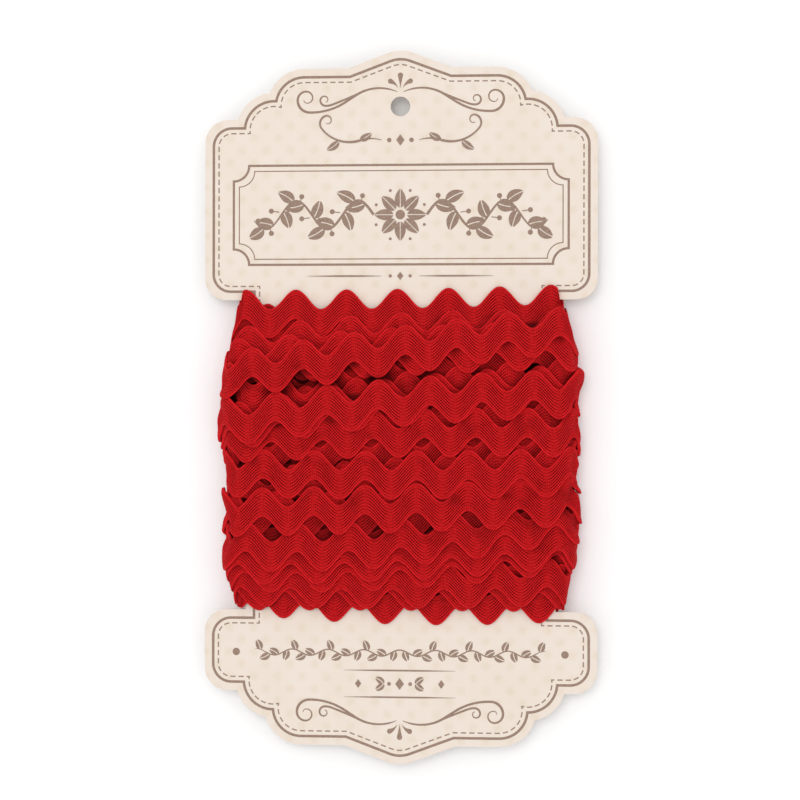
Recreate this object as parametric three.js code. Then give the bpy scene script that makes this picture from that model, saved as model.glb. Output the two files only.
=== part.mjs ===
// Ric rac trim wound flat round the waist of a die-cut display card, lying on its back.
// Millimetres. X runs across the card, Y up towards its header, Z up from the surface it lies on.
// The origin is under the middle of the card, on that surface.
import * as THREE from "three";

// The card: half of it is drawn, and the other half mirrors it.
const CARD_THICK = 0.8;
const WAIST_HALF = 50;
const HEADER_FOOT = 34.6; // Y of the header's lower edge
const FOOTER_TOP = -65.3; // Y of the footer's upper edge
const HOLE = { y: 96.8, radius: 3.175 }; // a quarter-inch hang hole
const ARC_STEP = THREE.MathUtils.degToRad(12);

// The ends of the card, in from the sides: three round lobes, a level edge, then a slope to a round tip.
// Each lobe is a circle of its own, and they meet in shallow cusps. Y is measured towards the end's tip.
const HEADER = {
  lobes: [
    { name: "corner", x: 55.8, y: 85.4, radius: 7.5 },
    { name: "middle", x: 40.9, y: 89.3, radius: 12.3 },
    { name: "inner", x: 31.1, y: 97.2, radius: 12.0 },
  ],
  levelEdge: 109.2,
  tip: { y: 102.9, radius: 11.8 },
  innerCorner: 6.8, // radius of the corner beside the waist
};
const FOOTER = {
  lobes: [
    { name: "corner", x: 55.8, y: 84.0, radius: 7.5 },
    { name: "middle", x: 41.1, y: 88.1, radius: 12.2 },
    { name: "inner", x: 31.9, y: 96.9, radius: 11.9 },
  ],
  levelEdge: 108.8,
  tip: { y: 102.9, radius: 11.8 },
  innerCorner: 7.1,
};
const TIP_SLOPE = THREE.MathUtils.degToRad(20.5);
const CARD_HALF = HEADER.lobes[0].x + HEADER.lobes[0].radius;

// The winding: a sleeve of layered trim with a flat inside, and rows of zigzag edges on its outside.
const TRIM_PITCH = 16.4; // one wave of the trim
const EDGE_SWING = 3.2; // how far an edge swings each way from its middle line
const SLEEVE_RADIUS = 0.8; // inside the turn round the card's edge, and half the sleeve's hollow
const SLEEVE_CENTRE = 49.85; // X of that turn's centre
const DEEPEST = 6.2; // the thickest stretch of winding over the sleeve's hollow
const SHOULDER_GAP = 0.4; // left between the winding and the card's shoulders
const STEP_DROP = 0.45; // how far below a row's edge the next row down comes out
const MID_Z = SLEEVE_RADIUS + DEEPEST; // the card's middle plane
const FRONT_STEPS = 48;
const TURN_STEPS = 10;
const WAVES_ROUND = 15;
const REFERENCE_HEIGHT = 5.5; // where the trim's length round the loop is measured

// Each visible edge from the top down: its middle line at the left end, centre and right end of the front,
// the X of one of its peaks, and the winding's height above the hollow on its upper and lower side.
const EDGES = [
  { name: "top end", left: 34.6, centre: 35.7, right: 36.7, peak: -0.4, above: 0, below: 2.2 },
  { name: "second row", left: 23.2, centre: 28.6, right: 29.6, peak: 1.0, above: 2.2, below: 3.4 },
  { name: "crossing row", left: 16.7, centre: 23.4, right: 28.2, peak: 0.5, above: 3.4, below: 6.2 },
  { name: "under crossing", left: 6.9, centre: 13.6, right: 19.8, peak: 0.6, above: 6.2, below: 5.0 },
  { name: "fourth row", left: 0.9, centre: 6.7, right: 8.9, peak: -7.1, above: 5.0, below: 6.2 },
  { name: "under fourth", left: -8.7, centre: -3.1, right: -0.9, peak: -7.7, above: 6.2, below: 5.6 },
  { name: "under fifth", left: -14.0, centre: -12.6, right: -12.4, peak: 6.9, above: 5.6, below: 4.8 },
  { name: "sixth row", left: -16.9, centre: -16.9, right: -16.6, peak: 6.4, above: 4.8, below: 6.2 },
  { name: "seventh row", left: -27.9, centre: -27.1, right: -26.0, peak: 5.2, above: 5.7, below: 6.2 },
  { name: "under seventh", left: -38.1, centre: -37.2, right: -35.8, peak: 4.7, above: 6.2, below: 5.4 },
  { name: "under eighth", left: -48.9, centre: -47.6, right: -42.4, peak: -0.5, above: 5.4, below: 4.6 },
  { name: "under ninth", left: -54.4, centre: -52.9, right: -50.1, peak: -1.1, above: 4.6, below: 3.4 },
  { name: "under tenth", left: -60.2, centre: -60.4, right: -60.4, peak: -3.2, above: 3.4, below: 1.6 },
  { name: "bottom end", left: -65.0, centre: -66.4, right: -66.1, peak: 3.4, above: 1.6, below: 0 },
];

const PAPER = new THREE.MeshStandardMaterial({ color: 0xf1e6da, roughness: 0.85, metalness: 0 });
const TRIM = new THREE.MeshStandardMaterial({ color: 0xc41218, roughness: 0.8, metalness: 0 });

// Where two of an end's circles cross, on the side away from the card's middle.
function cusp(a, b) {
  const between = new THREE.Vector2(b.x - a.x, b.y - a.y);
  const distance = between.length();
  const along = (a.radius ** 2 - b.radius ** 2 + distance ** 2) / (2 * distance);
  const aside = Math.sqrt(a.radius ** 2 - along ** 2);
  between.normalize();
  return { x: a.x + between.x * along - between.y * aside, y: a.y + between.y * along + between.x * aside };
}

// Points along an arc, both its ends included.
function arcPoints(centre, radius, from, to) {
  const steps = Math.ceil(Math.abs(to - from) / ARC_STEP);
  const points = [];
  for (let i = 0; i <= steps; i++) {
    const angle = THREE.MathUtils.lerp(from, to, i / steps);
    points.push(new THREE.Vector2(centre.x + radius * Math.cos(angle), centre.y + radius * Math.sin(angle)));
  }
  return points;
}

function angleOf(centre, point) {
  return Math.atan2(point.y - centre.y, point.x - centre.x);
}

// The right half of one end, from the waist to the tip, for Y growing towards the tip.
function endPoints(end, innerEdge) {
  const [corner, middle, inner] = end.lobes;
  const edgeX = corner.x + corner.radius;
  const cornerTop = corner.y + corner.radius;
  const levelX = middle.x + Math.sqrt(middle.radius ** 2 - (cornerTop - middle.y) ** 2);
  const meet = cusp(inner, middle);
  const slopeStart = {
    x: end.tip.radius * Math.sin(TIP_SLOPE),
    y: end.tip.y + end.tip.radius * Math.cos(TIP_SLOPE),
  };
  const slopeEnd = slopeStart.x + (slopeStart.y - end.levelEdge) / Math.tan(TIP_SLOPE);
  const waistCorner = { x: edgeX - end.innerCorner, y: innerEdge + end.innerCorner };
  const half = Math.PI / 2;
  return [
    new THREE.Vector2(WAIST_HALF, innerEdge),
    ...arcPoints(waistCorner, end.innerCorner, -half, 0),
    ...arcPoints(corner, corner.radius, 0, half),
    ...arcPoints(middle, middle.radius, angleOf(middle, { x: levelX, y: cornerTop }), angleOf(middle, meet)),
    ...arcPoints(inner, inner.radius, angleOf(inner, meet), half).slice(1),
    new THREE.Vector2(slopeEnd, end.levelEdge),
    ...arcPoints({ x: 0, y: end.tip.y }, end.tip.radius, half - TIP_SLOPE, half),
  ];
}

function makeCard() {
  const header = endPoints(HEADER, HEADER_FOOT);
  const footer = endPoints(FOOTER, -FOOTER_TOP).map((p) => new THREE.Vector2(p.x, -p.y));
  const right = [...footer.reverse(), ...header];
  const left = right.slice(1, -1).reverse().map((p) => new THREE.Vector2(-p.x, p.y));
  const outline = new THREE.Shape([...right, ...left]);
  outline.holes.push(new THREE.Path(arcPoints({ x: 0, y: HOLE.y }, HOLE.radius, 0, 2 * Math.PI).slice(1)));
  const geometry = new THREE.ExtrudeGeometry(outline, { depth: CARD_THICK, bevelEnabled: false });
  const card = new THREE.Mesh(geometry, PAPER);
  card.name = "card";
  card.position.z = MID_Z - CARD_THICK / 2;
  return card;
}

// The stations round the loop, from the middle of the front to the right and back to the start.
// Each has its point on the sleeve's hollow, its outward direction, and the trim's length up to it.
function loopStations() {
  const stations = [];
  const turnLength = Math.PI * (SLEEVE_RADIUS + REFERENCE_HEIGHT);
  const front = 2 * SLEEVE_CENTRE;
  const addStraight = (side, start) => {
    for (let i = 0; i < FRONT_STEPS; i++) {
      const gone = (i / FRONT_STEPS) * front;
      const x = side * (gone - SLEEVE_CENTRE);
      stations.push({ x, z: side * SLEEVE_RADIUS, outX: 0, outZ: side, length: start + gone });
    }
  };
  const addTurn = (side, start) => {
    for (let i = 0; i < TURN_STEPS; i++) {
      const angle = (i / TURN_STEPS) * Math.PI;
      const outX = side * Math.sin(angle);
      const outZ = side * Math.cos(angle);
      const x = side * SLEEVE_CENTRE + outX * SLEEVE_RADIUS;
      const length = start + (i / TURN_STEPS) * turnLength;
      stations.push({ x, z: outZ * SLEEVE_RADIUS, outX, outZ, length });
    }
  };
  addStraight(1, 0);
  addTurn(1, front);
  addStraight(-1, front + turnLength);
  addTurn(-1, 2 * front + turnLength);
  return { stations, front, round: 2 * (front + turnLength) };
}

// Waves passed at a station: true to the trim's pitch across the front, and a whole number round the loop.
function wavesAt(station, loop) {
  const frontWaves = loop.front / TRIM_PITCH;
  if (station.length <= loop.front) return station.length / TRIM_PITCH;
  const rest = (station.length - loop.front) / (loop.round - loop.front);
  return frontWaves + rest * (WAVES_ROUND - frontWaves);
}

// An edge's middle line: a gentle bow across the front, and the same bow back across the rear.
function middleLine(edge, x) {
  const t = THREE.MathUtils.clamp(x / SLEEVE_CENTRE, -1, 1);
  const slope = (edge.right - edge.left) / 2;
  const bow = (edge.right + edge.left) / 2 - edge.centre;
  return edge.centre + slope * t + bow * t * t;
}

function edgeY(edge, station, loop) {
  const peakWaves = (edge.peak + SLEEVE_CENTRE) / TRIM_PITCH;
  const swing = EDGE_SWING * Math.cos(2 * Math.PI * (wavesAt(station, loop) - peakWaves));
  const y = middleLine(edge, station.x) + swing;
  const besideCard = Math.abs(station.x) > SLEEVE_CENTRE - TRIM_PITCH / 8;
  if (!besideCard) return y;
  return THREE.MathUtils.clamp(y, FOOTER_TOP + SHOULDER_GAP, HEADER_FOOT - SHOULDER_GAP);
}

// The lines that ring the sleeve, from the hollow over the outside and back to it.
function ringLines() {
  const lines = [];
  for (const edge of EDGES) {
    const last = edge === EDGES[EDGES.length - 1];
    const first = edge === EDGES[0];
    const overhang = edge.below > edge.above ? STEP_DROP : 0;
    const drop = edge.below < edge.above ? -STEP_DROP : 0;
    const open = first || last ? 0 : 1;
    lines.push({ edge, height: edge.above, shift: overhang * open });
    lines.push({ edge, height: edge.below, shift: drop * open });
  }
  return lines;
}

function makeWinding() {
  const loop = loopStations();
  const lines = ringLines();
  const positions = [];
  for (const station of loop.stations) {
    let ceiling = Infinity;
    for (const line of lines) {
      const y = Math.min(edgeY(line.edge, station, loop) + line.shift, ceiling);
      ceiling = y;
      positions.push(station.x + station.outX * line.height, y, station.z + station.outZ * line.height);
    }
  }
  const index = [];
  const rings = loop.stations.length;
  for (let i = 0; i < rings; i++) {
    for (let j = 0; j < lines.length; j++) {
      const here = i * lines.length;
      const next = ((i + 1) % rings) * lines.length;
      const below = (j + 1) % lines.length;
      index.push(here + j, here + below, next + j);
      index.push(next + j, here + below, next + below);
    }
  }
  const geometry = new THREE.BufferGeometry();
  geometry.setAttribute("position", new THREE.Float32BufferAttribute(positions, 3));
  geometry.setIndex(index);
  geometry.computeVertexNormals();
  const winding = new THREE.Mesh(geometry, TRIM);
  winding.name = "winding";
  winding.position.z = MID_Z;
  return winding;
}

const model = new THREE.Group();
model.name = "wound_trim_card";
model.add(makeCard(), makeWinding());

export default model;
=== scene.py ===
import math
from collections import namedtuple

import bpy
import numpy as np
from mathutils import Matrix, Vector


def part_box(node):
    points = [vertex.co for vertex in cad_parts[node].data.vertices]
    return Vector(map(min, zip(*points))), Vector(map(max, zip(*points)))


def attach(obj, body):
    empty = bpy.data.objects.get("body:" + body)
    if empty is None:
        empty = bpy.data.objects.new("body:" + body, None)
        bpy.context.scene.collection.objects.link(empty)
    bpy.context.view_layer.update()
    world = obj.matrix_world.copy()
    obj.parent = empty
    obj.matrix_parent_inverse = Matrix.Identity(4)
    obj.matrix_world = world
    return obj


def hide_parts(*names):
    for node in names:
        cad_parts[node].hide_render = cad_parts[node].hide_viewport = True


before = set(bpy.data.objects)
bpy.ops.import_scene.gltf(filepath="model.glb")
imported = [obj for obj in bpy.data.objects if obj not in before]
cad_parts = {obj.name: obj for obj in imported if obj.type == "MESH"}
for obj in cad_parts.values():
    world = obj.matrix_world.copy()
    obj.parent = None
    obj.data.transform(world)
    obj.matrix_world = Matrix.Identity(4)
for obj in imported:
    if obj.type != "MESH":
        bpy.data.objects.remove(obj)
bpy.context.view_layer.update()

# Lengths are in millimetres until a mesh is made, and Z is up from the surface below.
MM = 0.001
card_low, card_high = (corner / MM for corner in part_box("card"))
CARD_TOP = card_high.z
MID_Z = (card_low.z + card_high.z) / 2

# The loop that each turn follows: the front, round the right edge, the back, and round the left.
EDGE_X = 50.6  # X of the centre of the bend round each side of the card
HOLLOW = 0.45  # from the card's middle plane to the underside of the first layer
BEND_HEIGHT = 7.3  # over the hollow, at which the loop's length is reckoned
FRONT = 2 * EDGE_X
BEND = math.pi * (HOLLOW + BEND_HEIGHT)
LOOP = 2 * (FRONT + BEND)
STATIONS = 360  # a turn
STEP = LOOP / STATIONS
START = -(BEND + FRONT / 2)  # the trim starts at the middle of the back

# The trim: ten woven cords side by side, bent into waves.
PITCH = 16.4
SWING = 3.15
HALF_WIDTH = 4.9
NORMAL_SHARE = 0.05  # how far the cords' offsets lean from straight up the card towards square to them
THICKNESS = 1.2
CORDS = 10
EDGE_HEIGHT = 0.45  # of the trim's long edges, as a share of the thickness
GROOVE_DEPTH = 0.3  # share of the thickness
EDGE_CORDS = 1.6  # cords from each edge at which the grooves have their full depth
FLAT_SLOPE, FULL_SLOPE = 0.2, 0.95  # slopes of the waves at which the grooves start, and are deepest
LEAST_GROOVE = 0.2  # share of the grooves' depth that is left on the crests
CREST_HIGHLIGHT = 0.19  # how much lighter the trim is painted where it has no grooves, as a painted highlight on the crests
UNDERSIDE_INSET, UNDERSIDE_LIFT = 0.25, 0.1  # cords from the edge, and thicknesses up, where it ends

# The grid of the pile's heights: a row for each station round the loop, and a column for each Y.
ROUND, ACROSS = 0, 1  # its axes
GRID_STEP = 0.3
GRID_LOW, GRID_HIGH = -72.0, 44.0
GRID_Y = np.arange(GRID_LOW, GRID_HIGH, GRID_STEP)
EDGE_MARGIN = 0.001  # of a cell, by which samples stay inside its last row and column
LAID_BLUR = (2, 2)  # how often a turn's underside is blurred along each axis
COVER_BLUR = (1, 2)
FREE_BLUR = (3, 4)  # for the places where nothing lies on a lobe
FREE_MARGIN = (1, 2)  # cells that such a place keeps from what does

# How the trim lies over what is under it.
BEND_ALONG = 7.0  # tightest radius that the trim bends to along its length
BEND_ACROSS = 3.0
DEEPEST_DROP = 2.0  # how far below a high place the trim is still held up by it
OUTER_RISE = 0.8  # what a row adds to the pile once the next one presses on it
UNDER_RISE = 0.7
SEAM_STATIONS = 20  # over which a turn's height runs on into the next one's
FAR_BELOW = -50.0
HOLE_REACH = 2.8  # half the width of the widest hole that is painted darker inside, as shade
SHADE_START_DEPTH, DARKEST_SHADE_DEPTH = 0.4, 3.6  # depths at which the painted shade in a hole starts, and is at its darkest

# How it goes round the card's sides. From the start of a squeeze, more and more over a length, it is kept
# between the shoulders, with a soft distance over which the room left to one is eased off.
WAIST_LOW, WAIST_HIGH = -64.9, 34.2
Squeeze = namedtuple("Squeeze", "start over soft")
LOW_SQUEEZE, HIGH_SQUEEZE = Squeeze(-2.0, 5.0, 2.0), Squeeze(3.5, 8.0, 5.0)
BOARD_ANGLE = math.radians(55)  # how far round a bend the trim still lies on the card's thick ends
FLARE_REACH = 17.0  # how far from a bend's middle the waves' lobes stand away from the pile
FLARE_EASE = 1.4  # how soon from there they stand away fully
LOBE_START = 0.4  # the more, the wider is the part of a lobe that stands away
BURIED = 0.4  # of other trim over a lobe holds it down
SLUMP_LOW, SLUMP_HIGH = 21.0, 30.0  # how far from each shoulder the pile slumps beside the card
SLUMP_ROOM = 1.0  # it slumps fully this near a shoulder
SLUMP_START, SLUMP_OVER = 2.0, 8.0  # how far round a bend it starts, and over what length
SLUMP_SCALE = 1.2  # the lower, the flatter it gets
SLUMP_GAP = 0.5  # how far from the card it is at the shoulders
FLOOR_PRESS = 2.0  # below this height the trim's own weight presses it flatter
FLOOR_GAP = 0.02

# The plain band behind the gaps, painted the yarn's darkest colour as shade.
CORE_LOW, CORE_HIGH = -61.5, 30.5
CORE_TOP, CORE_BOTTOM = -0.02, -0.04  # heights over the hollow
CORE_EVERY = 4  # stations

# Rows of the front in the order they were wound: the middle line's Y at the left end, centre and right end,
# X of a wave's peak, the waves' pitch, and how far their lobes stand away from the pile at each side.
# The first go down the card, and the last come up over them.
FLARE = 0.3
USUAL = (PITCH, FLARE, FLARE)
Row = namedtuple("Row", "name left centre right peak pitch left_flare right_flare", defaults=USUAL)
OUTER_ROWS = (
    Row("under_top", 26.3, 22.0, 21.5, 6.6),
    Row("under_third", 15.5, 17.5, 18.0, -6.2),
    Row("under_second", 24.5, 22.9, 21.8, 1.5),
    Row("top", 30.0, 30.1, 31.4, -0.85),
    Row("second", 18.0, 22.6, 23.4, 0.7),
    Row("under_crossing", 3.0, 10.0, 17.0, -6.1),
    Row("under_fourth", -4.5, 3.4, 7.8, 2.5),
    Row("third", 14.3, 17.8, 19.7, -2.3),
    Row("behind_fourth", 6.2, -2.5, -8.9, -6.17),
    Row("hidden_high", -6.0, -5.9, -5.4, -2.07),
    Row("under_fifth", -14.5, -14.4, -13.8, -1.07),
    Row("hidden_middle", -27.5, -23.5, -19.5, -1.0),
    Row("under_eighth", -34.4, -34.9, -36.0, -4.6, 17.0),
    Row("hidden_low", -51.9, -51.6, -50.4, 2.93),
    Row("under_bottom", -56.0, -58.3, -57.4, 3.5, 16.5),
    Row("bottom", -59.0, -61.75, -60.6, 3.5, 16.5),
    Row("tenth", -57.6, -57.2, -57.3, -4.4),
    Row("tenth_upper", -56.1, -56.6, -55.2, -2.0),
    Row("ninth_lower", -51.4, -50.3, -44.9, 0.4, 16.6),
    Row("ninth", -48.9, -47.4, -43.5, -0.3, 17.1),
    Row("eighth", -44.6, -43.1, -35.6, 0.6, 16.55),
    Row("seventh", -33.7, -32.2, -30.0, 5.6, 16.5, 1.5, 0.2),
    Row("sixth", -21.1, -21.6, -20.6, 5.9, 16.5),
    Row("fifth", -9.9, -8.2, -7.9, 8.3),
    Row("beside_fourth", -5.7, 2.0, 5.7, -5.0, 16.6, 0.0, 1.0),
    Row("fourth", -4.4, 1.6, 4.2, -6.5, 16.5, 0.4, 1.0),
    Row("crossing", 10.8, 18.2, 24.4, 2.0, 16.4, 0.1, 0.1),
)

# The layers under them, each wound back over the last: the middle lines of its lowest and highest rows.
Layer = namedtuple("Layer", "first last rows")
UNDER_LAYERS = (Layer(-54.0, 22.0, 7), Layer(20.0, -48.0, 6), Layer(-42.0, 16.0, 6), Layer(12.0, -42.0, 5))
UNDER_LEAN = 6  # each row's ends lie off its centre by the rows' spacing over this
UNDER_SHIFT = 8.0  # each row's waves are shifted by up to this
SEED = 11
ROW_KNOTS = 9  # places across the front at which a row's Y and phase are worked out
EASE_STATIONS = 9  # over which kinks in the middle line are rounded off

# Pieces of the trim: the row each starts with, the stations from one ring of points to the next, the steps
# across a cord, and the points across the underside. The rows that hardly show are coarser.
FINEST = (1, 4, 5)
Stretch = namedtuple("Stretch", "name first_row every cord_steps under_points", defaults=FINEST)
STRETCHES = (
    Stretch("trim_inner", "under_0", 3, 2, 3),
    Stretch("trim_upper", "under_top"),
    Stretch("trim_middle", "under_crossing"),
    Stretch("trim_hidden", "behind_fourth", 2),
    Stretch("trim_lower", "bottom"),
    Stretch("trim_last", "seventh"),
)

# The card's ends, as in the part. Y is measured towards the end's tip.
Circle = namedtuple("Circle", "x y radius")
End = namedtuple("End", "corner middle inner level_edge foot foot_radius")
HEADER = End(Circle(55.8, 85.4, 7.5), Circle(40.9, 89.3, 12.3), Circle(31.1, 97.2, 12.0), 109.2, 34.6, 6.8)
FOOTER = End(Circle(55.8, 84.0, 7.5), Circle(41.1, 88.1, 12.2), Circle(31.9, 96.9, 11.9), 108.8, 65.3, 7.1)
TIP = Circle(0.0, 102.9, 11.8)
TIP_SLOPE = 20.5
CARD_HALF = 63.3
WAIST_HALF = 50.0

# The print: flat shapes a little sunk into the card's face, and standing as little above it.
INK_LOW, INK_HIGH = CARD_TOP - 0.02, CARD_TOP + 0.02
INK_RISE = 0.001  # each shape stands this much higher than the last, so that no two lie in one plane
FINE = 0.02  # added to the width of shapes that taper, so that none ends in nothing
ARC_STEP = 5  # degrees
WALK_STEP, LEAST_STEPS = 0.3, 4  # of a walk's legs
SAME_PLACE = 1e-4  # points of a path that are nearer than this count as one
LEAF_SKEW, LEAF_BULGE = 0.8, 0.9  # the lower, the nearer its base a leaf is widest, and the fuller it is
VEIN = 0.3
DROP_POINTS, DROP_TAPER = 60, 1.2
BORDER_INSET, BORDER_WIDTH = 2.75, 0.84
STITCH_INSET, STITCH_WIDTH = 4.45, 0.42
STITCH_PITCH, STITCH_LENGTH = 2.68, 1.7
CORNER_EASE, FOOT_EASE = 1.2, 1.5  # how much rounder the border's corners are than the card's
HIDDEN_END = 3.0  # how far the border runs on under the trim

# Scrolls and drops at the card's tips, the same to both sides. Each is a walk from an X and a Y, with a
# heading, over legs that each have a length and a turn. Widths are at shares of its length.
Scroll = namedtuple("Scroll", "start legs widths")
Drop = namedtuple("Drop", "start legs radius mirrored")
SCROLLS = (
    Scroll(
        (1.0, 101.5, 24.0),
        ((6, -24), (8, -33), (4, 0), (12.3, 35), (6.1, 88), (4.4, 90), (3.2, 90), (3.0, 100), (1.4, 80)),
        ((0, 0.2), (0.06, 0.55), (0.3, 0.8), (0.5, 0.7), (0.72, 0.85), (0.85, 0.6), (1, 0.25)),
    ),
    Scroll(
        (11.6, 102.1, -27.0),
        ((11.5, 7), (2.2, 24), (2.7, 90), (2.1, 90), (1.7, 90), (1.2, 80)),
        ((0, 0.4), (0.3, 0.65), (0.7, 0.7), (1, 0.25)),
    ),
)
DROPS = (
    Drop((0.0, 102.7, 90.0), ((5.0, 0),), 0.85, False),
    Drop((0.8, 102.8, 62.0), ((4.1, -52),), 0.8, True),
)
FOOTER_LIFT = -0.8  # the footer's are this much further towards their tip

# Vines, the same to both sides: a stem that swings in waves, and leaves on alternate sides of it.
Stem = namedtuple("Stem", "y start end swing wave rise widths")  # rise: X where it swings up past its Y
Leaves = namedtuple("Leaves", "start end pitch length shrink width lean")
STEM_STEP = 0.4
VINE_BEND = 25  # degrees that each of their leaves bends back
BERRY_SHIFT, BERRY_LEAN, BERRY_RADIUS = 1.3, 62, 0.8  # X from the leaf, degrees from the stem
STALK_LENGTH, STALK_WIDTH = 2.6, 0.3

# The header's panel: two lines with notched corners, and a vine each side of a rosette.
FrameLine = namedtuple("FrameLine", "half_width half_height width")
PANEL_Y = 62.0
PANEL_LINES = (FrameLine(54.0, 16.0, 0.75), FrameLine(52.2, 14.2, 0.35))
NOTCH_RADIUS = 5.0
PANEL_STEM = Stem(PANEL_Y, 8.6, 47.6, 4.6, 20.0, 8.6, ((0, 0.9), (0.8, 0.6), (1, 0.25)))
PANEL_LEAVES = Leaves(11.5, 47.0, 3.3, 6.6, 0.12, 3.4, 55)
PETALS = 8
PETAL_START, PETAL_LENGTH, PETAL_WIDTH = 2.3, 6.0, 3.2
PETAL_DOT_REACH, PETAL_DOT_RADIUS = 8.4, 0.45
HEART_RADIUS = 1.5

# Ornaments: curls over the panel, and rules under it.
Leaf = namedtuple("Leaf", "start length width bend")
Diamond = namedtuple("Diamond", "x y width height")
Rule = namedtuple("Rule", "y start end points fade")  # fade: share of its length from which it thins out
HAIRLINE, RULE_WIDTH = 0.05, 0.5
RULE_GROWN = 0.3  # share of its length at which it has its full width
CURL_DIAMOND, CURL_DOT = Diamond(0, 86.0, 2.6, 3.6), Circle(3.6, 86.0, 0.7)
CURL = Scroll(
    (6.0, 86.0, 18.0),
    ((7, -36), (8, 40), (6, 30), (5, 110), (3.2, 130), (2, 110)),
    ((0, 0.12), (0.25, 0.8), (0.6, 0.5), (0.8, 0.65), (1, 0.12)),
)
CURL_LEAVES = (Leaf((13.0, 86.2, 150), 4.2, 1.9, -30), Leaf((20.0, 85.6, -35), 4.6, 2.0, 30))
HEADER_RULE = Rule(42.3, 6.0, 30.0, 24, 0.6)
RULE_DIAMOND, RULE_DOT = Diamond(0, 42.3, 2.0, 2.6), Circle(3.2, 42.3, 0.5)

# The footer: a small vine between two dots, and a row of diamonds between two rules.
VINE_DOT = Circle(53.0, -79.0, 1.2)
FOOTER_STEM = Stem(-79.0, 0.0, 47.2, 1.0, 11.6, -2.9, ((0, 0.45), (0.9, 0.4), (1, 0.15)))
FOOTER_LEAVES = Leaves(1.6, 46.0, 2.9, 3.5, 0.0, 1.9, 48)
FOOTER_RULES = (Rule(-84.6, -18.0, 18.0, 40, 0.7), Rule(-93.2, -18.0, 18.0, 40, 0.7))
MIDDLE_DIAMOND = Diamond(0, -88.9, 2.8, 3.8)
SIDE_DOT, SIDE_DIAMOND = Circle(3.4, -88.9, 0.6), Diamond(13.4, -88.9, 2.0, 2.8)
MIDDLE_LEAVES = (Leaf((5.2, -88.9, 35), 3.4, 1.7, -40), Leaf((5.2, -88.9, -35), 3.4, 1.7, 40))

# Finishes: their shaders' settings, and their colours at positions along what drives them.
Noise = namedtuple("Noise", "scale detail")
YARN = {
    "Roughness": 0.75,
    "Specular IOR Level": 0.05,
    "Sheen Weight": 0.06,
    "Sheen Tint": (1.0, 0.15, 0.18, 1),
}
# The yarn's colour from a groove's floor, painted dark as shade, to a cord's ridge, painted pinkish bright
# as a highlight.
YARN_SHADE_TO_HIGHLIGHT = ((0.0, (0.04, 0.0008, 0.0003)), (0.5, (0.315, 0.0034, 0.0038)), (1.0, (0.69, 0.0138, 0.0185)))
# Painted shade in the holes: the share of the yarn's colour left at shares of the way to the darkest depth.
PAINTED_HOLE_SHADE = ((0.0, 1.0), (0.3, 0.64), (0.6, 0.3), (1.0, 0.08))
THREAD = 0.72  # length of a thread's float along a cord
CHEVRON = 0.5  # how steeply the threads slope back to each side of a cord's middle
STEEP_TONE, LEAST_TONE = 0.22, 0.03  # how much the threads show where the trim is steep, and everywhere
FIBRE, FIBRE_TONE, FIBRE_BUMP = Noise(1400, 2), 0.5, 3.0
YARN_BUMP, YARN_BUMP_HEIGHT = 0.6, 0.12
BOARD = {"Roughness": 0.85, "Specular IOR Level": 0.2}
BOARD_TONES = ((0.2, (0.76, 0.67, 0.594)), (1.0, (0.708, 0.605, 0.49)))
DOT_PITCH, DOT_RADIUS, DOT_FADE = 7.9, 2.0, 1.4
SPECKLE, DOT_TINT = Noise(700, 2), 0.9
MOTTLE, MOTTLE_TINT = Noise(60, 3), 0.55
GRAIN, GRAIN_BUMP, GRAIN_HEIGHT = Noise(2500, 4), 0.25, 0.05
INK_TONES = ((0.3, (0.25, 0.17, 0.13)), (0.75, (0.34, 0.24, 0.185)))
INK_WEAR = Noise(1500, 2)

# The camera looks down on the card, a little from its right.
VIEW_CENTRE = (0.0, 2.4, CARD_TOP)
VIEW_WIDTH = 257.2
SENSOR_WIDTH = 36.0
CAMERA_DISTANCE = 700.0
CAMERA_YAW, CAMERA_ROLL = math.radians(4.6), math.radians(0.08)

# The studio, in metres and watts.
FLOOR_HALF = 3.0
FLOOR = {"Base Color": (0.94, 0.94, 0.94, 1), "Roughness": 0.9}
SKY_STRENGTH = 0.96
LIGHT_PLACE, LIGHT_SIZE, LIGHT_POWER = (-0.1, 0.3, 1.4), 0.7, 4.6


def smooth_step(t):
    t = np.clip(t, 0.0, 1.0)
    return t * t * (3.0 - 2.0 * t)


def under_rows():
    """The rows of the under layers, in the order they were wound."""
    rng = np.random.default_rng(SEED)
    rows = []
    for layer in UNDER_LAYERS:
        lean = (layer.last - layer.first) / layer.rows / UNDER_LEAN
        for y in np.linspace(layer.first, layer.last, layer.rows):
            shift = rng.uniform(-UNDER_SHIFT, UNDER_SHIFT)
            rows.append(Row(f"under_{len(rows)}", y - lean, y, y + lean, shift))
    return rows


def loop_place(along, height):
    """X and Z at distances along the loop from the front's left end, and heights over the hollow."""
    w = np.mod(along, LOOP)
    reach = HOLLOW + height
    angle_right = (w - FRONT) / BEND * math.pi
    angle_left = (w - 2 * FRONT - BEND) / BEND * math.pi
    parts = [w < FRONT, w < FRONT + BEND, w < 2 * FRONT + BEND]
    x = np.select(
        parts,
        [w - EDGE_X, EDGE_X + reach * np.sin(angle_right), EDGE_X - (w - FRONT - BEND)],
        -EDGE_X - reach * np.sin(angle_left),
    )
    z = np.select(parts, [reach, reach * np.cos(angle_right), -reach], -reach * np.cos(angle_left))
    return x, z


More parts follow.
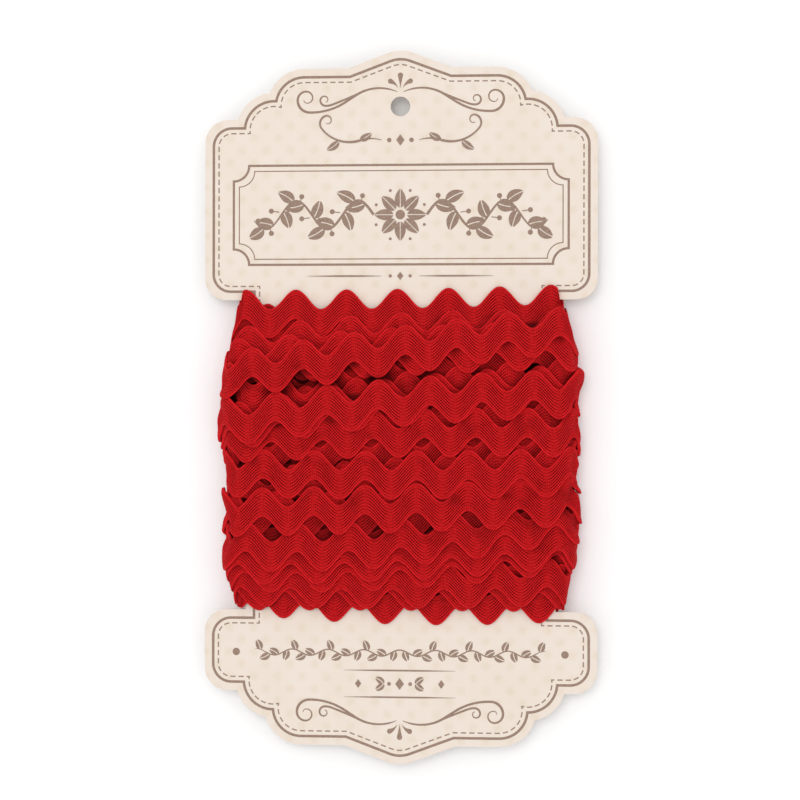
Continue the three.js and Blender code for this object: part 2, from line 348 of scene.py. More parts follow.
def trim_path(rows):
    """The trim's middle line over all its turns: distance along, Y, and the wave's phase in cycles."""
    along = START + np.arange(len(rows) * STATIONS + SEAM_STATIONS) * STEP
    knots, middles, phases = [], [], []
    for turn, row in enumerate(rows):
        start = turn * LOOP
        phase = -(row.peak + EDGE_X) / row.pitch
        if phases:
            phase += round(phases[-1] + (start - knots[-1]) / PITCH - phase)
        slope = (row.right - row.left) / 2
        bow = (row.right + row.left) / 2 - row.centre
        for t in np.linspace(-1, 1, ROW_KNOTS):
            knots.append(start + (t + 1) * EDGE_X)
            middles.append(row.centre + slope * t + bow * t * t)
            phases.append(phase + (t + 1) * EDGE_X / row.pitch)
    middle = np.interp(along, knots, middles)
    beyond = along - np.clip(along, knots[0], knots[-1])
    phase = np.interp(along, knots, phases) + beyond / PITCH
    return along, ease(middle, EASE_STATIONS), phase


def ease(values, reach):
    """Values along the trim with their kinks rounded off over reach stations to each side."""
    window = np.hanning(2 * reach + 3)[1:-1]
    padded = np.pad(values, reach, mode="edge")
    return np.convolve(padded, window / window.sum(), mode="valid")


def cord_lines(along, middle, phase, offsets):
    """Distance along and Y of lines at offsets across the trim, a column each, and the trim's slope."""
    y = middle + SWING * np.cos(2 * math.pi * phase)
    slope = np.gradient(y, along)
    size = np.hypot(1, slope)
    lean = -NORMAL_SHARE * slope / size
    rise = (1 - NORMAL_SHARE) + NORMAL_SHARE / size
    line_along = along[:, None] + lean[:, None] * offsets
    line_y = y[:, None] + rise[:, None] * offsets
    return line_along, between_shoulders(line_along, line_y), slope


def between_shoulders(along, y):
    """Y squeezed into the waist where the trim goes round the card's sides."""
    past_end = distance_past_end(along)
    low, high = LOW_SQUEEZE, HIGH_SQUEEZE
    at_low = smooth_step((past_end - low.start) / low.over)
    at_high = smooth_step((past_end - high.start) / high.over)
    y = y + at_low * (WAIST_LOW + squeeze(y - WAIST_LOW, low.soft) - y)
    return y + at_high * (WAIST_HIGH - squeeze(WAIST_HIGH - y, high.soft) - y)


def squeeze(room, soft):
    """The room left to something, eased off towards none where there is less than the soft distance."""
    return np.where(room < soft, soft * np.exp((np.minimum(room, soft) - soft) / soft), room)


def stiffen(surface, axis, spacing, radius):
    """The lowest surface over this one that bends no tighter than the radius along an axis."""
    raised = surface.copy()
    reach = int(math.sqrt(2 * radius * DEEPEST_DROP) / spacing)
    for shift in range(1, reach + 1):
        drop = (shift * spacing) ** 2 / (2 * radius)
        ahead, behind = slice(shift, None), slice(None, -shift)
        if axis == ACROSS:
            ahead, behind = (slice(None), ahead), (slice(None), behind)
        raised[ahead] = np.maximum(raised[ahead], surface[behind] - drop)
        raised[behind] = np.maximum(raised[behind], surface[ahead] - drop)
    return raised


def blur(surface, times):
    """The surface averaged with its neighbours, so many times along each axis."""
    for axis in (ROUND, ACROSS):
        for _ in range(times[axis]):
            before = np.roll(surface, 1, axis)
            after = np.roll(surface, -1, axis)
            surface = 0.25 * before + 0.5 * surface + 0.25 * after
    return surface


def widen(surface, reach):
    """The highest value of the surface within so many cells to either side along each axis."""
    for axis in (ROUND, ACROSS):
        shifts = range(-reach[axis], reach[axis] + 1)
        surface = np.max([np.roll(surface, shift, axis) for shift in shifts], axis=0)
    return surface


def distance_past_end(along):
    """How far round a bend a place is. It is negative on the front and the back."""
    return BEND / 2 - np.abs(np.mod(along - FRONT - BEND / 2 + LOOP / 4, LOOP / 2) - LOOP / 4)


def board_heights():
    """Heights over the hollow of the card's thick ends, which the trim's outer waves lie on."""
    angle = distance_past_end(START + np.arange(STATIONS) * STEP) / BEND * math.pi
    reach = (CARD_TOP - MID_Z) / np.cos(np.clip(angle, 0, BOARD_ANGLE))
    height = np.where(angle < BOARD_ANGLE, reach - HOLLOW, 0)
    return np.where((GRID_Y > HEADER.foot) | (GRID_Y < -FOOTER.foot), height[:, None], 0.0)


def places_across(path):
    """Where each Y of the grid is across the trim at each station: from -1 to 1 on it."""
    edge_along, edge_y, _ = cord_lines(*path, np.array([-HALF_WIDTH, HALF_WIDTH]))
    low, high = (np.interp(path[0], edge_along[:, k], edge_y[:, k])[:, None] for k in (0, 1))
    return 2 * (GRID_Y - low) / (high - low) - 1


def lay_trim(across, rises):
    """Lays the turns one after another. Returns the trim's underside at each station, and the pile."""
    pile = board_heights()
    underside = np.zeros(across.shape)
    share = smooth_step(np.arange(SEAM_STATIONS) / SEAM_STATIONS)[:, None]
    place = np.arange(STATIONS + SEAM_STATIONS) % STATIONS
    for turn, rise in enumerate(rises):
        first = turn * STATIONS
        span = slice(first, first + STATIONS + SEAM_STATIONS)
        inside = np.abs(across[span]) < 1
        laid = np.where(inside, pile[place], FAR_BELOW)
        laid = stiffen(laid, ROUND, STEP, BEND_ALONG)
        laid = stiffen(laid, ACROSS, GRID_STEP, BEND_ACROSS)
        laid = np.maximum(blur(laid, LAID_BLUR), 0)
        if turn:
            seam = slice(first, first + SEAM_STATIONS)
            laid[:SEAM_STATIONS] = underside[seam] * (1 - share) + laid[:SEAM_STATIONS] * share
        underside[span] = laid
        own = inside[:STATIONS]
        pile = np.where(own, np.maximum(pile, laid[:STATIONS] + rise), pile)
    return underside, pile


def press_down(height, y, along):
    """Heights in the pile, less beside the card near its shoulders, where turns slide off each other."""
    room_low = (y - WAIST_LOW - SLUMP_ROOM) / SLUMP_LOW
    room_high = (WAIST_HIGH - y - SLUMP_ROOM) / SLUMP_HIGH
    share = 1 - smooth_step(np.minimum(room_low, room_high))
    share *= smooth_step((distance_past_end(along) - SLUMP_START) / SLUMP_OVER)
    pressed = SLUMP_GAP + SLUMP_SCALE * np.log1p(np.maximum(height, 0) / SLUMP_SCALE)
    return height + share * (pressed - height)


def flare_lobes(path, across, underside, pile, rises, flares):
    """The undersides, with the waves' lobes lifted at the card's sides where nothing lies on them."""
    along, _, phase = path
    station = np.arange(len(along))
    turn = np.minimum(station // STATIONS, len(rises) - 1)
    own_top = underside + rises[turn][:, None]
    buried = (np.abs(across) < 1) & (pile[station % STATIONS] > own_top + BURIED)
    free = blur(1.0 - widen(buried.astype(float), FREE_MARGIN), FREE_BLUR)
    wave = np.cos(2 * math.pi * phase)[:, None]
    lobe = smooth_step(across * wave + LOBE_START)
    lift = np.zeros(len(along))
    for side, middle in enumerate((-BEND / 2, FRONT + BEND / 2)):
        away = np.abs(along - middle - turn * LOOP) / FLARE_REACH
        lift += flares[turn, side] * smooth_step(FLARE_EASE * (1 - away))
    return underside + lift[:, None] * lobe * free


def lie_on_floor(z):
    """Heights above the surface below, with what would sink into it pressed flat above it."""
    return FLOOR_GAP + squeeze(z - FLOOR_GAP, FLOOR_PRESS - FLOOR_GAP)


def pile_cover(pile):
    """The pile's top with its holes filled, from which depths in it are measured for the painted shade in
    the holes.
    """
    reach = round(HOLE_REACH / STEP), round(HOLE_REACH / GRID_STEP)
    cover = -widen(-widen(pile, reach), reach)
    cover = blur(cover, COVER_BLUR)
    return np.vstack([cover, cover[:1]])


def sample(surface, rows, columns):
    """Bilinear samples of a surface at fractional rows and columns."""
    last_row, last_column = (count - 1 - EDGE_MARGIN for count in surface.shape)
    rows, columns = np.clip(rows, 0, last_row), np.clip(columns, 0, last_column)
    i, j = rows.astype(int), columns.astype(int)
    s, t = rows - i, columns - j
    low = surface[i, j] * (1 - t) + surface[i, j + 1] * t
    high = surface[i + 1, j] * (1 - t) + surface[i + 1, j + 1] * t
    return low * (1 - s) + high * s


def trim_section(cord_steps, under_points):
    """The trim's cross-section: place across in cords, height as a share of the thickness, and groove."""
    top = np.linspace(0, CORDS, CORDS * cord_steps + 1)
    top_groove = 1 - np.abs(np.sin(math.pi * top))
    top_groove *= smooth_step(np.minimum(top, CORDS - top) / EDGE_CORDS)
    top_height = np.ones_like(top)
    top_height[[0, -1]] = EDGE_HEIGHT
    under = np.linspace(CORDS - UNDERSIDE_INSET, UNDERSIDE_INSET, under_points)
    under_height = np.zeros_like(under)
    under_height[[0, -1]] = UNDERSIDE_LIFT
    across = np.concatenate([top, under])
    height = np.concatenate([top_height, under_height])
    return across, height, np.pad(top_groove, (0, under_points))


def side_faces(here, after, points):
    """Faces between rings of points and the rings after them, from the indices they start at."""
    here, after = here[:, None], after[:, None]
    k = np.arange(points)
    beside = (k + 1) % points
    quads = np.stack([here + k, after + k, after + beside, here + beside], axis=2)
    return [tuple(face) for face in quads.reshape(-1, 4).tolist()]


def strip_faces(rings, points):
    """Faces of a closed tube of rings of points, with its two end caps."""
    starts = np.arange(rings) * points
    caps = [tuple(range(points)), tuple(reversed(range(starts[-1], starts[-1] + points)))]
    return side_faces(starts[:-1], starts[1:], points) + caps


def add_strip(name, rings, numbers):
    """A closed strip from rings of points, which carry numbers for its material."""
    mesh = bpy.data.meshes.new(name)
    mesh.from_pydata((rings.reshape(-1, 3) * MM).tolist(), [], strip_faces(*rings.shape[:2]))
    for key, values in numbers.items():
        values = np.broadcast_to(values, rings.shape[:2]).astype(np.float32)
        mesh.attributes.new(key, "FLOAT", "POINT").data.foreach_set("value", values.ravel())
    mesh.shade_smooth()
    return add_object(name, mesh)


def trim_lengths(along, middle, phase):
    """How much trim there is up to each station, along its waves."""
    slope = np.gradient(middle + SWING * np.cos(2 * math.pi * phase), along)
    return np.cumsum(np.hypot(1, slope)) * STEP


def make_trim(stretch, turns, path, surface, cover):
    """A stretch of trim, from its first to its last turn, as one closed strip."""
    stations = slice(turns[0] * STATIONS, turns[1] * STATIONS + 1, stretch.every)
    across, height, groove = trim_section(stretch.cord_steps, stretch.under_points)
    offsets = (across / CORDS * 2 - 1) * HALF_WIDTH
    line_along, line_y, slope = (values[stations] for values in cord_lines(*path, offsets))
    rows, columns = (line_along - START) / STEP, (line_y - GRID_LOW) / GRID_STEP
    under = sample(surface, rows, columns)
    flank = smooth_step((np.abs(slope) - FLAT_SLOPE) / (FULL_SLOPE - FLAT_SLOPE))[:, None]
    flank = LEAST_GROOVE + (1 - LEAST_GROOVE) * flank
    top = under + THICKNESS * (height - GROOVE_DEPTH * groove * flank)
    # How deep under the pile's filled top each point lies, which darkens it as painted shade.
    painted_shade_depth = sample(cover, np.mod(rows, STATIONS), columns) - under - OUTER_RISE
    x, z = loop_place(line_along, press_down(top, line_y, line_along))
    z = lie_on_floor(z + MID_Z)
    # Painted shade in the grooves and painted highlights on the ridges of the flanks, and a lighter painted
    # highlight on the crests where there are no grooves.
    ridge = np.where(height > UNDERSIDE_LIFT, 1 - 2 * groove, 0)
    numbers = {
        "painted_shade_and_highlight": 0.5 + 0.5 * ridge * flank + CREST_HIGHLIGHT * (1 - flank),
        "painted_shade_depth": np.clip((painted_shade_depth - SHADE_START_DEPTH) / (DARKEST_SHADE_DEPTH - SHADE_START_DEPTH), 0, 1),
        "length": trim_lengths(*path)[stations, None],
        "lean": (slope / np.hypot(1, slope))[:, None],
        "across": across,
    }
    return add_strip(stretch.name, np.stack([x, line_y, z], axis=2), numbers)


def make_core():
    """The first turns, pressed flat on the card as one plain band, painted dark behind the gaps as shade.
    """
    along = np.arange(0, STATIONS, CORE_EVERY) * STEP
    section = (
        (CORE_LOW, CORE_TOP),
        (CORE_HIGH, CORE_TOP),
        (CORE_HIGH, CORE_BOTTOM),
        (CORE_LOW, CORE_BOTTOM),
    )
    corners = []
    for y, height in section:
        x, z = loop_place(along, height)
        corners.append(np.column_stack([x, np.full_like(x, y), z + MID_Z]))
    points = np.stack(corners, axis=1).reshape(-1, 3)
    starts = np.arange(len(along)) * len(section)
    mesh = bpy.data.meshes.new("trim_core")
    mesh.from_pydata((points * MM).tolist(), [], side_faces(starts, np.roll(starts, -1), len(section)))
    return add_object("trim_core", mesh)


def add_object(name, data):
    """An object in the scene, of a mesh, a camera or a light."""
    item = bpy.data.objects.new(name, data)
    bpy.context.scene.collection.objects.link(item)
    return item


def arc(x, y, radius, start, end):
    """Points along an arc between two angles in degrees."""
    steps = max(int(abs(end - start) / ARC_STEP), 2)
    angles = np.radians(np.linspace(start, end, steps + 1))
    return np.column_stack([x + radius * np.cos(angles), y + radius * np.sin(angles)])


def walk(start, legs):
    """Points along a curve from a place and a heading, over legs that each have a length and a turn."""
    x, y, heading = start
    angle = math.radians(heading)
    points = [(x, y)]
    for length, turn in legs:
        steps = max(round(length / WALK_STEP), LEAST_STEPS)
        half_turn = math.radians(turn) / steps / 2
        for _ in range(steps):
            angle += half_turn
            x += math.cos(angle) * length / steps
            y += math.sin(angle) * length / steps
            angle += half_turn
            points.append((x, y))
    return np.array(points)


def place_from(x, y, reach, heading):
    """The place that is this far from another, in a direction in degrees."""
    angle = math.radians(heading)
    return x + reach * math.cos(angle), y + reach * math.sin(angle)


def distances(path):
    """How far along the path each of its points is."""
    return np.concatenate([[0], np.cumsum(np.hypot(*np.diff(path, axis=0).T))])


def normals_of(path):
    """Vectors to the left of a path, longer at its corners so that a stroke keeps its width."""
    steps = np.diff(path, axis=0)
    steps /= np.hypot(*steps.T)[:, None]
    before = np.vstack([steps[:1], steps])
    after = np.vstack([steps, steps[-1:]])
    both = (before + after) / (1 + np.sum(before * after, axis=1))[:, None]
    return np.column_stack([-both[:, 1], both[:, 0]])


class Ink:
    """Printed shapes, gathered as thin closed slabs of one mesh."""

    def __init__(self, name, rise=INK_RISE):
        self.name = name
        self.rise = rise
        self.top = INK_HIGH
        self.points = []
        self.faces = []

    def add(self, points, faces):
        self.top += self.rise
        first = len(self.points)
        self.points += points.tolist()
        self.faces += [tuple(first + corner for corner in face) for face in faces]

    def stroke(self, path, widths, mirrored=False):
        """A line of a given width along a path, and its mirror image if that is asked for."""
        path = np.asarray(path, dtype=float)
        moved = np.concatenate([[True], np.hypot(*np.diff(path, axis=0).T) > SAME_PLACE])
        path = path[moved]
        widths = np.broadcast_to(widths, moved.shape)[moved]
        side = normals_of(path) * widths[:, None] / 2
        low, high = (np.full((len(path), 1), z) for z in (INK_LOW, self.top))
        left, right = path + side, path - side
        ring = [np.hstack(part) for part in ((left, low), (right, low), (right, high), (left, high))]
        points = np.stack(ring, axis=1).reshape(-1, 3)
        self.add(points, strip_faces(len(path), len(ring)))
        if mirrored:
            self.stroke(path * (-1, 1), widths)

    def brush(self, path, stops, mirrored=True):
        """A line that changes its width, by stops that each have a share of its length and a width."""
        gone = distances(path)
        self.stroke(path, np.interp(gone / gone[-1], *zip(*stops)), mirrored)

    def slab(self, outline):
        """A convex shape with its outline running anticlockwise."""
        count = len(outline)
        low, high = (np.column_stack([outline, np.full(count, z)]) for z in (INK_LOW, self.top))
        sides = [(k, (k + 1) % count, count + (k + 1) % count, count + k) for k in range(count)]
        ends = [tuple(reversed(range(count))), tuple(range(count, 2 * count))]
        self.add(np.vstack([low, high]), sides + ends)

    def disc(self, x, y, radius):
        self.slab(arc(x, y, radius, 0, 360)[:-1])

    def discs(self, x, y, radius):
        """A disc to each side of the card's middle."""
        for sign in (-1, 1):
            self.disc(sign * x, y, radius)

    def diamond(self, x, y, width, height):
        wide, tall = width / 2, height / 2
        self.slab(np.array([(x + wide, y), (x, y + tall), (x - wide, y), (x, y - tall)]))

    def leaf(self, start, length, width, bend=0.0, mirrored=False):
        """Two halves of a leaf with a bare vein between them."""
        x, y, heading = start
        middle = walk((x, y, heading - bend / 2), ((length, bend),))
        share, sides = distances(middle) / length, normals_of(middle)
        within = share <= 1  # rounding can put the last point past the tip, where a leaf has no width
        middle, share, sides = middle[within], share[within], sides[within]
        half = width / 2 * np.sin(math.pi * share ** LEAF_SKEW) ** LEAF_BULGE + FINE
        offset = sides * (VEIN + half)[:, None] / 2
        self.stroke(middle + offset, half, mirrored)
        self.stroke(middle - offset, half, mirrored)

    def drop(self, path, radius, mirrored=False):
        """A drop that grows along a path, from a fine tip to a round end."""
        gone = np.linspace(0, 1, DROP_POINTS) * distances(path)[-1]
        path = np.column_stack([np.interp(gone, distances(path), axis) for axis in path.T])
        neck = gone[-1] - radius
        tail = radius * np.clip(gone / neck, 0, 1) ** DROP_TAPER
        end = np.sqrt(np.maximum(radius ** 2 - np.maximum(gone - neck, 0) ** 2, 0))
        self.stroke(path, 2 * (np.minimum(tail, end) + FINE), mirrored)

    def finish(self, material):
        mesh = bpy.data.meshes.new(self.name)
        mesh.from_pydata((np.array(self.points) * MM).tolist(), [], self.faces)
        mesh.materials.append(material)
        piece = add_object(self.name, mesh)
        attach(piece, "root")


def crossing(a, a_radius, b, b_radius):
    """Where two circles cross, on the side away from the card's middle."""
    between = Vector((b.x - a.x, b.y - a.y))
    along = (a_radius ** 2 - b_radius ** 2 + between.length_squared) / (2 * between.length)
    aside = math.sqrt(a_radius ** 2 - along ** 2)
    between.normalize()
    return a.x + between.x * along - between.y * aside, a.y + between.y * along + between.x * aside


def angle_of(circle, point):
    """The direction of a point from a circle's centre, in degrees."""
    return math.degrees(math.atan2(point[1] - circle.y, point[0] - circle.x))


def border_runs(end, inset, tipward):
    """A line inside one end's edge, from under the trim round the tip and back, cut at sharp corners."""
    edge_x = CARD_HALF - inset
    top = end.corner.y + end.corner.radius - inset
    round_top = end.corner.radius - inset + CORNER_EASE
    round_foot = end.foot_radius - inset + FOOT_EASE
    middle, inner, tip = (circle.radius - inset for circle in (end.middle, end.inner, TIP))
    lobe = (end.middle.x + math.sqrt(middle ** 2 - (top - end.middle.y) ** 2), top)
    meet = crossing(end.inner, inner, end.middle, middle)
    level = end.level_edge - inset
    slope = math.radians(TIP_SLOPE)
    slope_end = tip * math.sin(slope) + (TIP.y + tip * math.cos(slope) - level) / math.tan(slope)
    waist = (WAIST_HALF - inset, end.foot + inset)
    runs = [
        np.array([(waist[0], end.foot - HIDDEN_END), waist]),
        np.vstack([
            waist,
            arc(edge_x - round_foot, waist[1] + round_foot, round_foot, -90, 0),
            arc(edge_x - round_top, top - round_top, round_top, 0, 90),
            lobe,
        ]),
        arc(end.middle.x, end.middle.y, middle, angle_of(end.middle, lobe), angle_of(end.middle, meet)),
        np.vstack([
            arc(end.inner.x, end.inner.y, inner, angle_of(end.inner, meet), 90),
            (slope_end, level),
            arc(TIP.x, TIP.y, tip, 90 - TIP_SLOPE, 90),
        ]),
    ]
    mirrored = [run[::-1] * (-1, 1) for run in reversed(runs)]
    whole = runs[:-1] + [np.vstack([runs[-1], mirrored[0][1:]])] + mirrored[1:]
    return [run * (1, tipward) for run in whole]


def add_stitches(ink, runs):
    """Dashes along a line, with one bent round each of its corners."""
    path = np.vstack([runs[0]] + [run[1:] for run in runs[1:]])
    gone = distances(path)
    middles = []
    start = 0.0
    for run in runs:
        length = distances(run)[-1]
        count = max(round(length / STITCH_PITCH), 1)
        middles += [start + length * k / count for k in range(count)]
        start += length
    for middle in middles[1:]:
        ends = np.array([middle - STITCH_LENGTH / 2, middle + STITCH_LENGTH / 2])
        within = (gone > ends[0]) & (gone < ends[1])
        places = np.sort(np.concatenate([ends, gone[within]]))
        ink.stroke(np.column_stack([np.interp(places, gone, axis) for axis in path.T]), STITCH_WIDTH)


def add_scrolls(ink, tipward, lift):
    """Scrolls and drops at one of the card's tips."""
    for scroll in SCROLLS:
        path = (walk(scroll.start, scroll.legs) + (0, lift)) * (1, tipward)
        ink.brush(path, scroll.widths)
    for drop in DROPS:
        path = (walk(drop.start, drop.legs) + (0, lift)) * (1, tipward)
        ink.drop(path, drop.radius, drop.mirrored)


def add_vine(ink, stem, leaves, berries=False):
    """A vine to each side of the card's middle, with or without berries across its stem from the leaves."""
    wave = 2 * math.pi / stem.wave
    stem_x = np.arange(stem.start, stem.end, STEM_STEP)
    path = np.column_stack([stem_x, stem.y + stem.swing * np.sin((stem_x - stem.rise) * wave)])
    ink.brush(path, stem.widths)
    for k, x in enumerate(np.arange(leaves.start, leaves.end, leaves.pitch)):
        phase = (x - stem.rise) * wave
        y = stem.y + stem.swing * math.sin(phase)
        heading = math.degrees(math.atan(stem.swing * wave * math.cos(phase)))
        side = 1 if k % 2 else -1
        start = (x, y, heading + side * leaves.lean)
        ink.leaf(start, leaves.length - leaves.shrink * k, leaves.width, -side * VINE_BEND, mirrored=True)
        if berries:
            stalk = (x + BERRY_SHIFT, y)
            tip = place_from(*stalk, STALK_LENGTH, heading - side * BERRY_LEAN)
            ink.stroke((stalk, tip), STALK_WIDTH, mirrored=True)
            ink.discs(*tip, BERRY_RADIUS)


def add_frame_line(ink, line):
    """A line round the panel, with a round notch at each corner."""
    notches = []
    for x, y, start in ((1, 1, 270), (-1, 1, 360), (-1, -1, 90), (1, -1, 180)):
        corner = (x * line.half_width, PANEL_Y + y * line.half_height)
        notches.append(arc(*corner, NOTCH_RADIUS, start, start - 90))
    seam = (line.half_width, PANEL_Y)
    ink.stroke(np.vstack([seam, *notches, seam]), line.width)


def add_rosette(ink, y):
    """Petals round a dot, with a small dot between the tips of each two."""
    for k in range(PETALS):
        heading = 360 / PETALS * k
        ink.leaf((*place_from(0, y, PETAL_START, heading), heading), PETAL_LENGTH, PETAL_WIDTH)
        ink.disc(*place_from(0, y, PETAL_DOT_REACH, heading + 180 / PETALS), PETAL_DOT_RADIUS)
    ink.disc(0, y, HEART_RADIUS)


def add_rule(ink, rule, mirrored=False):
    """A level line that fades away at both its ends."""
    path = np.column_stack([np.linspace(rule.start, rule.end, rule.points), np.full(rule.points, rule.y)])
    widths = ((0, HAIRLINE), (RULE_GROWN, RULE_WIDTH), (rule.fade, RULE_WIDTH), (1, HAIRLINE))
    ink.brush(path, widths, mirrored)


def header_print():
    """The panel, with curls over it and rules under it."""
    ink = Ink("print_panel")
    for line in PANEL_LINES:
        add_frame_line(ink, line)
    add_vine(ink, PANEL_STEM, PANEL_LEAVES, berries=True)
    add_rosette(ink, PANEL_Y)
    ink.diamond(*CURL_DIAMOND)
    ink.discs(*CURL_DOT)
    ink.brush(walk(CURL.start, CURL.legs), CURL.widths)
    for leaf in CURL_LEAVES:
        ink.leaf(*leaf, mirrored=True)
    add_rule(ink, HEADER_RULE, mirrored=True)
    ink.diamond(*RULE_DIAMOND)
    ink.discs(*RULE_DOT)
    return ink


def footer_print():
    """The small vine, and the row of diamonds between two rules."""
    ink = Ink("print_footer")
    ink.discs(*VINE_DOT)
    add_vine(ink, FOOTER_STEM, FOOTER_LEAVES)
    for rule in FOOTER_RULES:
        add_rule(ink, rule)
    ink.diamond(*MIDDLE_DIAMOND)
    for sign in (-1, 1):
        ink.disc(sign * SIDE_DOT.x, *SIDE_DOT[1:])
        ink.diamond(sign * SIDE_DIAMOND.x, *SIDE_DIAMOND[1:])
    for leaf in MIDDLE_LEAVES:
        ink.leaf(*leaf, mirrored=True)
    return ink


def print_card(material):
    """All that is printed on the card's face."""
    border, stitches, scrolls = Ink("print_border"), Ink("print_stitches", rise=0), Ink("print_scrolls")
    for end, tipward, lift in ((HEADER, 1, 0.0), (FOOTER, -1, FOOTER_LIFT)):
        border.stroke(np.vstack(border_runs(end, BORDER_INSET, tipward)), BORDER_WIDTH)
        add_stitches(stitches, border_runs(end, STITCH_INSET, tipward))
        add_scrolls(scrolls, tipward, lift)
    for ink in (border, stitches, scrolls, header_print(), footer_print()):
        ink.finish(material)


def new_material(name, settings):
    """A material, with its shader's sockets set."""
    material = bpy.data.materials.new(name)
    material.use_nodes = True
    shader = material.node_tree.nodes["Principled BSDF"]
    for socket, value in settings.items():
        shader.inputs[socket].default_value = value
    return material


class Nodes:
    """Short calls that add nodes to a material and return their outputs."""

    def __init__(self, material):
        self.nodes = material.node_tree.nodes
        self.links = material.node_tree.links
        self.shader = self.nodes["Principled BSDF"]
        self.place = self.nodes.new("ShaderNodeTexCoord").outputs["Object"]

    def feed(self, socket, value):
        """Links a socket to another node's output, or sets it to a value."""
        if isinstance(value, bpy.types.NodeSocket):
            self.links.new(value, socket)
        else:
            socket.default_value = value

    def attribute(self, name):
        node = self.nodes.new("ShaderNodeAttribute")
        node.attribute_name = name
        return node.outputs["Fac"]

    def outputs(self, kind, operation, first, second):
        """What a node of a kind gives for an operation on two inputs."""
        node = self.nodes.new(kind)
        node.operation = operation
        self.feed(node.inputs[0], first)
        self.feed(node.inputs[1], second)
        return node.outputs

    def number(self, operation, first, second=0.0):
        return self.outputs("ShaderNodeMath", operation, first, second)["Value"]

    def vector(self, operation, first, second=(0, 0, 0), output="Vector"):
        return self.outputs("ShaderNodeVectorMath", operation, first, second)[output]

    def clamp(self, value):
        node = self.nodes.new("ShaderNodeClamp")
        self.feed(node.inputs["Value"], value)
        return node.outputs["Result"]

    def noise(self, kind):
        node = self.nodes.new("ShaderNodeTexNoise")
        node.inputs["Scale"].default_value = kind.scale
        node.inputs["Detail"].default_value = kind.detail
        self.feed(node.inputs["Vector"], self.place)
        return node.outputs["Fac"]

    def ramp(self, value, stops):
        """Colours at positions along a value."""
        node = self.nodes.new("ShaderNodeValToRGB")
        elements = node.color_ramp.elements
        for position, _ in stops[1:-1]:
            elements.new(position)
        for element, (position, colour) in zip(elements, stops):
            element.position = position
            element.color = (*colour, 1)
        self.feed(node.inputs["Fac"], value)
        return node.outputs["Color"]

    def multiply_colours(self, first, second):
        node = self.nodes.new("ShaderNodeMix")
        node.data_type = "RGBA"
        node.blend_type = "MULTIPLY"
        node.inputs["Factor"].default_value = 1
        self.feed(node.inputs["A"], first)
        self.feed(node.inputs["B"], second)
        return node.outputs["Result"]

    def bump(self, height, strength, distance):
        """Gives the shader bumps of a height in millimetres."""
        node = self.nodes.new("ShaderNodeBump")
        node.inputs["Strength"].default_value = strength
        node.inputs["Distance"].default_value = distance * MM
        self.feed(node.inputs["Height"], height)
        self.feed(self.shader.inputs["Normal"], node.outputs["Normal"])


def trim_material():
    """Red yarn: painted highlights on the ridges and painted shade in the grooves of the waves' flanks,
    fine threads, and painted shade in the holes.
    """
    material = new_material("trim_weave", YARN)
    nodes = Nodes(material)
    number = nodes.number

    lean = nodes.attribute("lean")
    within = number("SUBTRACT", number("FRACT", nodes.attribute("across")), 0.5)
    shift = number("MULTIPLY", number("MULTIPLY", within, lean), 2 * HALF_WIDTH / CORDS)
    chevron = number("MULTIPLY", number("ABSOLUTE", within), CHEVRON)
    place = number("ADD", number("ADD", nodes.attribute("length"), shift), chevron)
    threads = number("SINE", number("MULTIPLY", place, 2 * math.pi / THREAD))
    fibre = number("MULTIPLY", number("SUBTRACT", nodes.noise(FIBRE), 0.5), FIBRE_TONE)

    steep = number("ADD", number("MULTIPLY", number("ABSOLUTE", lean), STEEP_TONE), LEAST_TONE)
    # The painted groove shade and ridge highlights, with the threads' pattern on them.
    painted_shade_and_highlight = number("ADD", nodes.attribute("painted_shade_and_highlight"), number("MULTIPLY", threads, steep))
    yarn_with_painted_light = nodes.ramp(number("ADD", painted_shade_and_highlight, fibre), YARN_SHADE_TO_HIGHLIGHT)
    # Painted shade: the deeper a place lies in a hole of the pile, the darker it is painted.
    shade = nodes.ramp(nodes.attribute("painted_shade_depth"), [(painted_shade_depth, (grey,) * 3) for painted_shade_depth, grey in PAINTED_HOLE_SHADE])
    nodes.feed(nodes.shader.inputs["Base Color"], nodes.multiply_colours(yarn_with_painted_light, shade))
    height = number("ADD", threads, number("MULTIPLY", fibre, FIBRE_BUMP))
    nodes.bump(height, YARN_BUMP, YARN_BUMP_HEIGHT)
    return material


def from_dots(nodes, shift):
    """Distance to the nearest dot of a square lattice, in millimetres."""
    cells = nodes.vector("MULTIPLY", nodes.place, (1 / DOT_PITCH / MM, 1 / DOT_PITCH / MM, 0))
    part = nodes.vector("FRACTION", nodes.vector("ADD", cells, (shift, shift, 0)))
    centred = nodes.vector("SUBTRACT", part, (0.5, 0.5, 0))
    spread = nodes.vector("MULTIPLY", centred, (DOT_PITCH, DOT_PITCH, 0))
    return nodes.vector("LENGTH", spread, output="Value")


def card_material():
    """Cream board, faintly mottled, with a faint pattern of staggered dots."""
    material = new_material("printed_card", BOARD)
    nodes = Nodes(material)
    number = nodes.number
    nearest = number("MINIMUM", from_dots(nodes, 0.0), from_dots(nodes, 0.5))
    dot = nodes.clamp(number("DIVIDE", number("SUBTRACT", DOT_RADIUS, nearest), DOT_FADE))
    speckled = number("MULTIPLY", dot, nodes.noise(SPECKLE))
    mottled = number("MULTIPLY", nodes.noise(MOTTLE), MOTTLE_TINT)
    tint = number("ADD", number("MULTIPLY", speckled, DOT_TINT), mottled)
    nodes.feed(nodes.shader.inputs["Base Color"], nodes.ramp(tint, BOARD_TONES))
    nodes.bump(nodes.noise(GRAIN), GRAIN_BUMP, GRAIN_HEIGHT)
    return material


def ink_material():
    """Taupe ink, a little uneven."""
    material = new_material("taupe_ink", BOARD)
    nodes = Nodes(material)
    nodes.feed(nodes.shader.inputs["Base Color"], nodes.ramp(nodes.noise(INK_WEAR), INK_TONES))
    return material


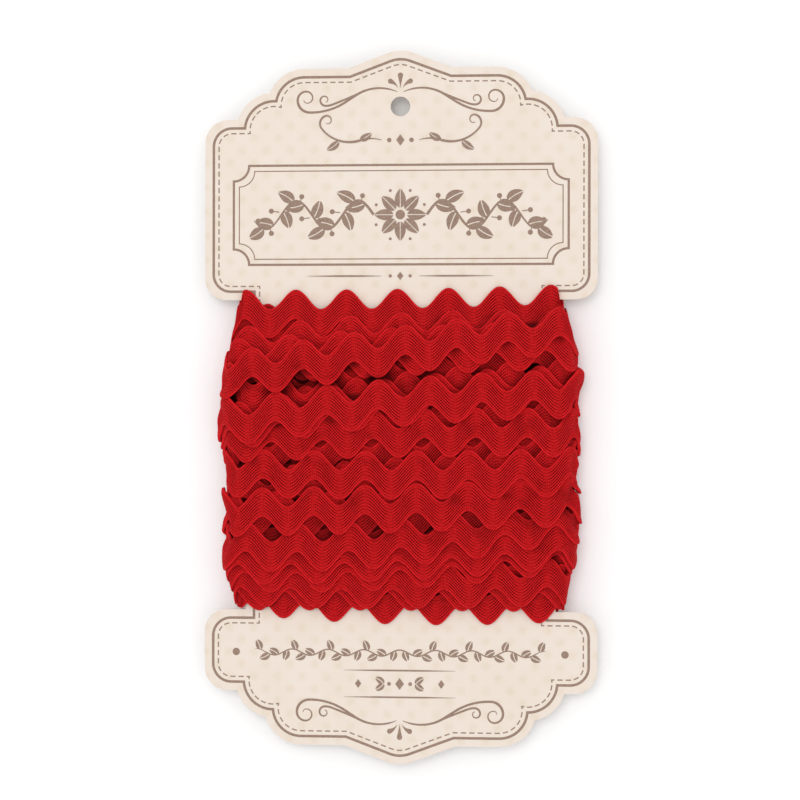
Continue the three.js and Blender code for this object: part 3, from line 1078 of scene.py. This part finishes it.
def finish_card():
    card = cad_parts["card"]
    card.data.materials.clear()
    card.data.materials.append(card_material())


def make_winding(material):
    """The trim wound round the card, over the plain band."""
    inner_rows = under_rows()
    rows = [*inner_rows, *OUTER_ROWS]
    rises = np.array([UNDER_RISE] * len(inner_rows) + [OUTER_RISE] * len(OUTER_ROWS))
    flares = np.array([(row.left_flare, row.right_flare) for row in rows])
    path = trim_path(rows)
    across = places_across(path)
    surface, pile = lay_trim(across, rises)
    cover = pile_cover(pile)
    surface = flare_lobes(path, across, surface, pile, rises, flares)
    # The band carries none of the trim's numbers, so it takes the yarn's darkest colour: painted shade.
    pieces = [make_core()]
    names = [row.name for row in rows]
    starts = [names.index(stretch.first_row) for stretch in STRETCHES] + [len(rows)]
    for stretch, turns in zip(STRETCHES, zip(starts, starts[1:])):
        pieces.append(make_trim(stretch, turns, path, surface, cover))
    for piece in pieces:
        piece.data.materials.append(material)
        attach(piece, "root")
        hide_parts("winding")


def add_camera():
    data = bpy.data.cameras.new("camera")
    data.sensor_width = SENSOR_WIDTH
    data.lens = SENSOR_WIDTH * CAMERA_DISTANCE / VIEW_WIDTH
    camera = add_object("camera", data)
    turn = Matrix.Rotation(CAMERA_YAW, 3, "Y") @ Matrix.Rotation(CAMERA_ROLL, 3, "Z")
    camera.rotation_euler = turn.to_euler()
    camera.location = (Vector(VIEW_CENTRE) + turn @ Vector((0, 0, CAMERA_DISTANCE))) * MM
    bpy.context.scene.camera = camera


def add_light():
    """A soft round light over the object, turned to the card's middle."""
    data = bpy.data.lights.new("key", "AREA")
    data.shape = "DISK"
    data.size = LIGHT_SIZE
    data.energy = LIGHT_POWER
    light = add_object("key", data)
    light.location = LIGHT_PLACE
    light.rotation_euler = (-Vector(LIGHT_PLACE)).to_track_quat("-Z", "Y").to_euler()


def add_floor():
    mesh = bpy.data.meshes.new("floor")
    corners = [(x * FLOOR_HALF, y * FLOOR_HALF, 0) for x, y in ((-1, -1), (1, -1), (1, 1), (-1, 1))]
    mesh.from_pydata(corners, [], [(0, 1, 2, 3)])
    mesh.materials.append(new_material("floor_paper", FLOOR))
    floor = add_object("floor", mesh)


def add_studio():
    """A pale floor, white light from all round, and one light."""
    add_floor()
    world = bpy.data.worlds.new("studio")
    world.use_nodes = True
    background = world.node_tree.nodes["Background"]
    background.inputs["Color"].default_value = (1, 1, 1, 1)
    background.inputs["Strength"].default_value = SKY_STRENGTH
    bpy.context.scene.world = world
    bpy.context.scene.view_settings.view_transform = "Standard"
    add_light()


add_camera()
add_studio()
finish_card()
print_card(ink_material())
make_winding(trim_material())
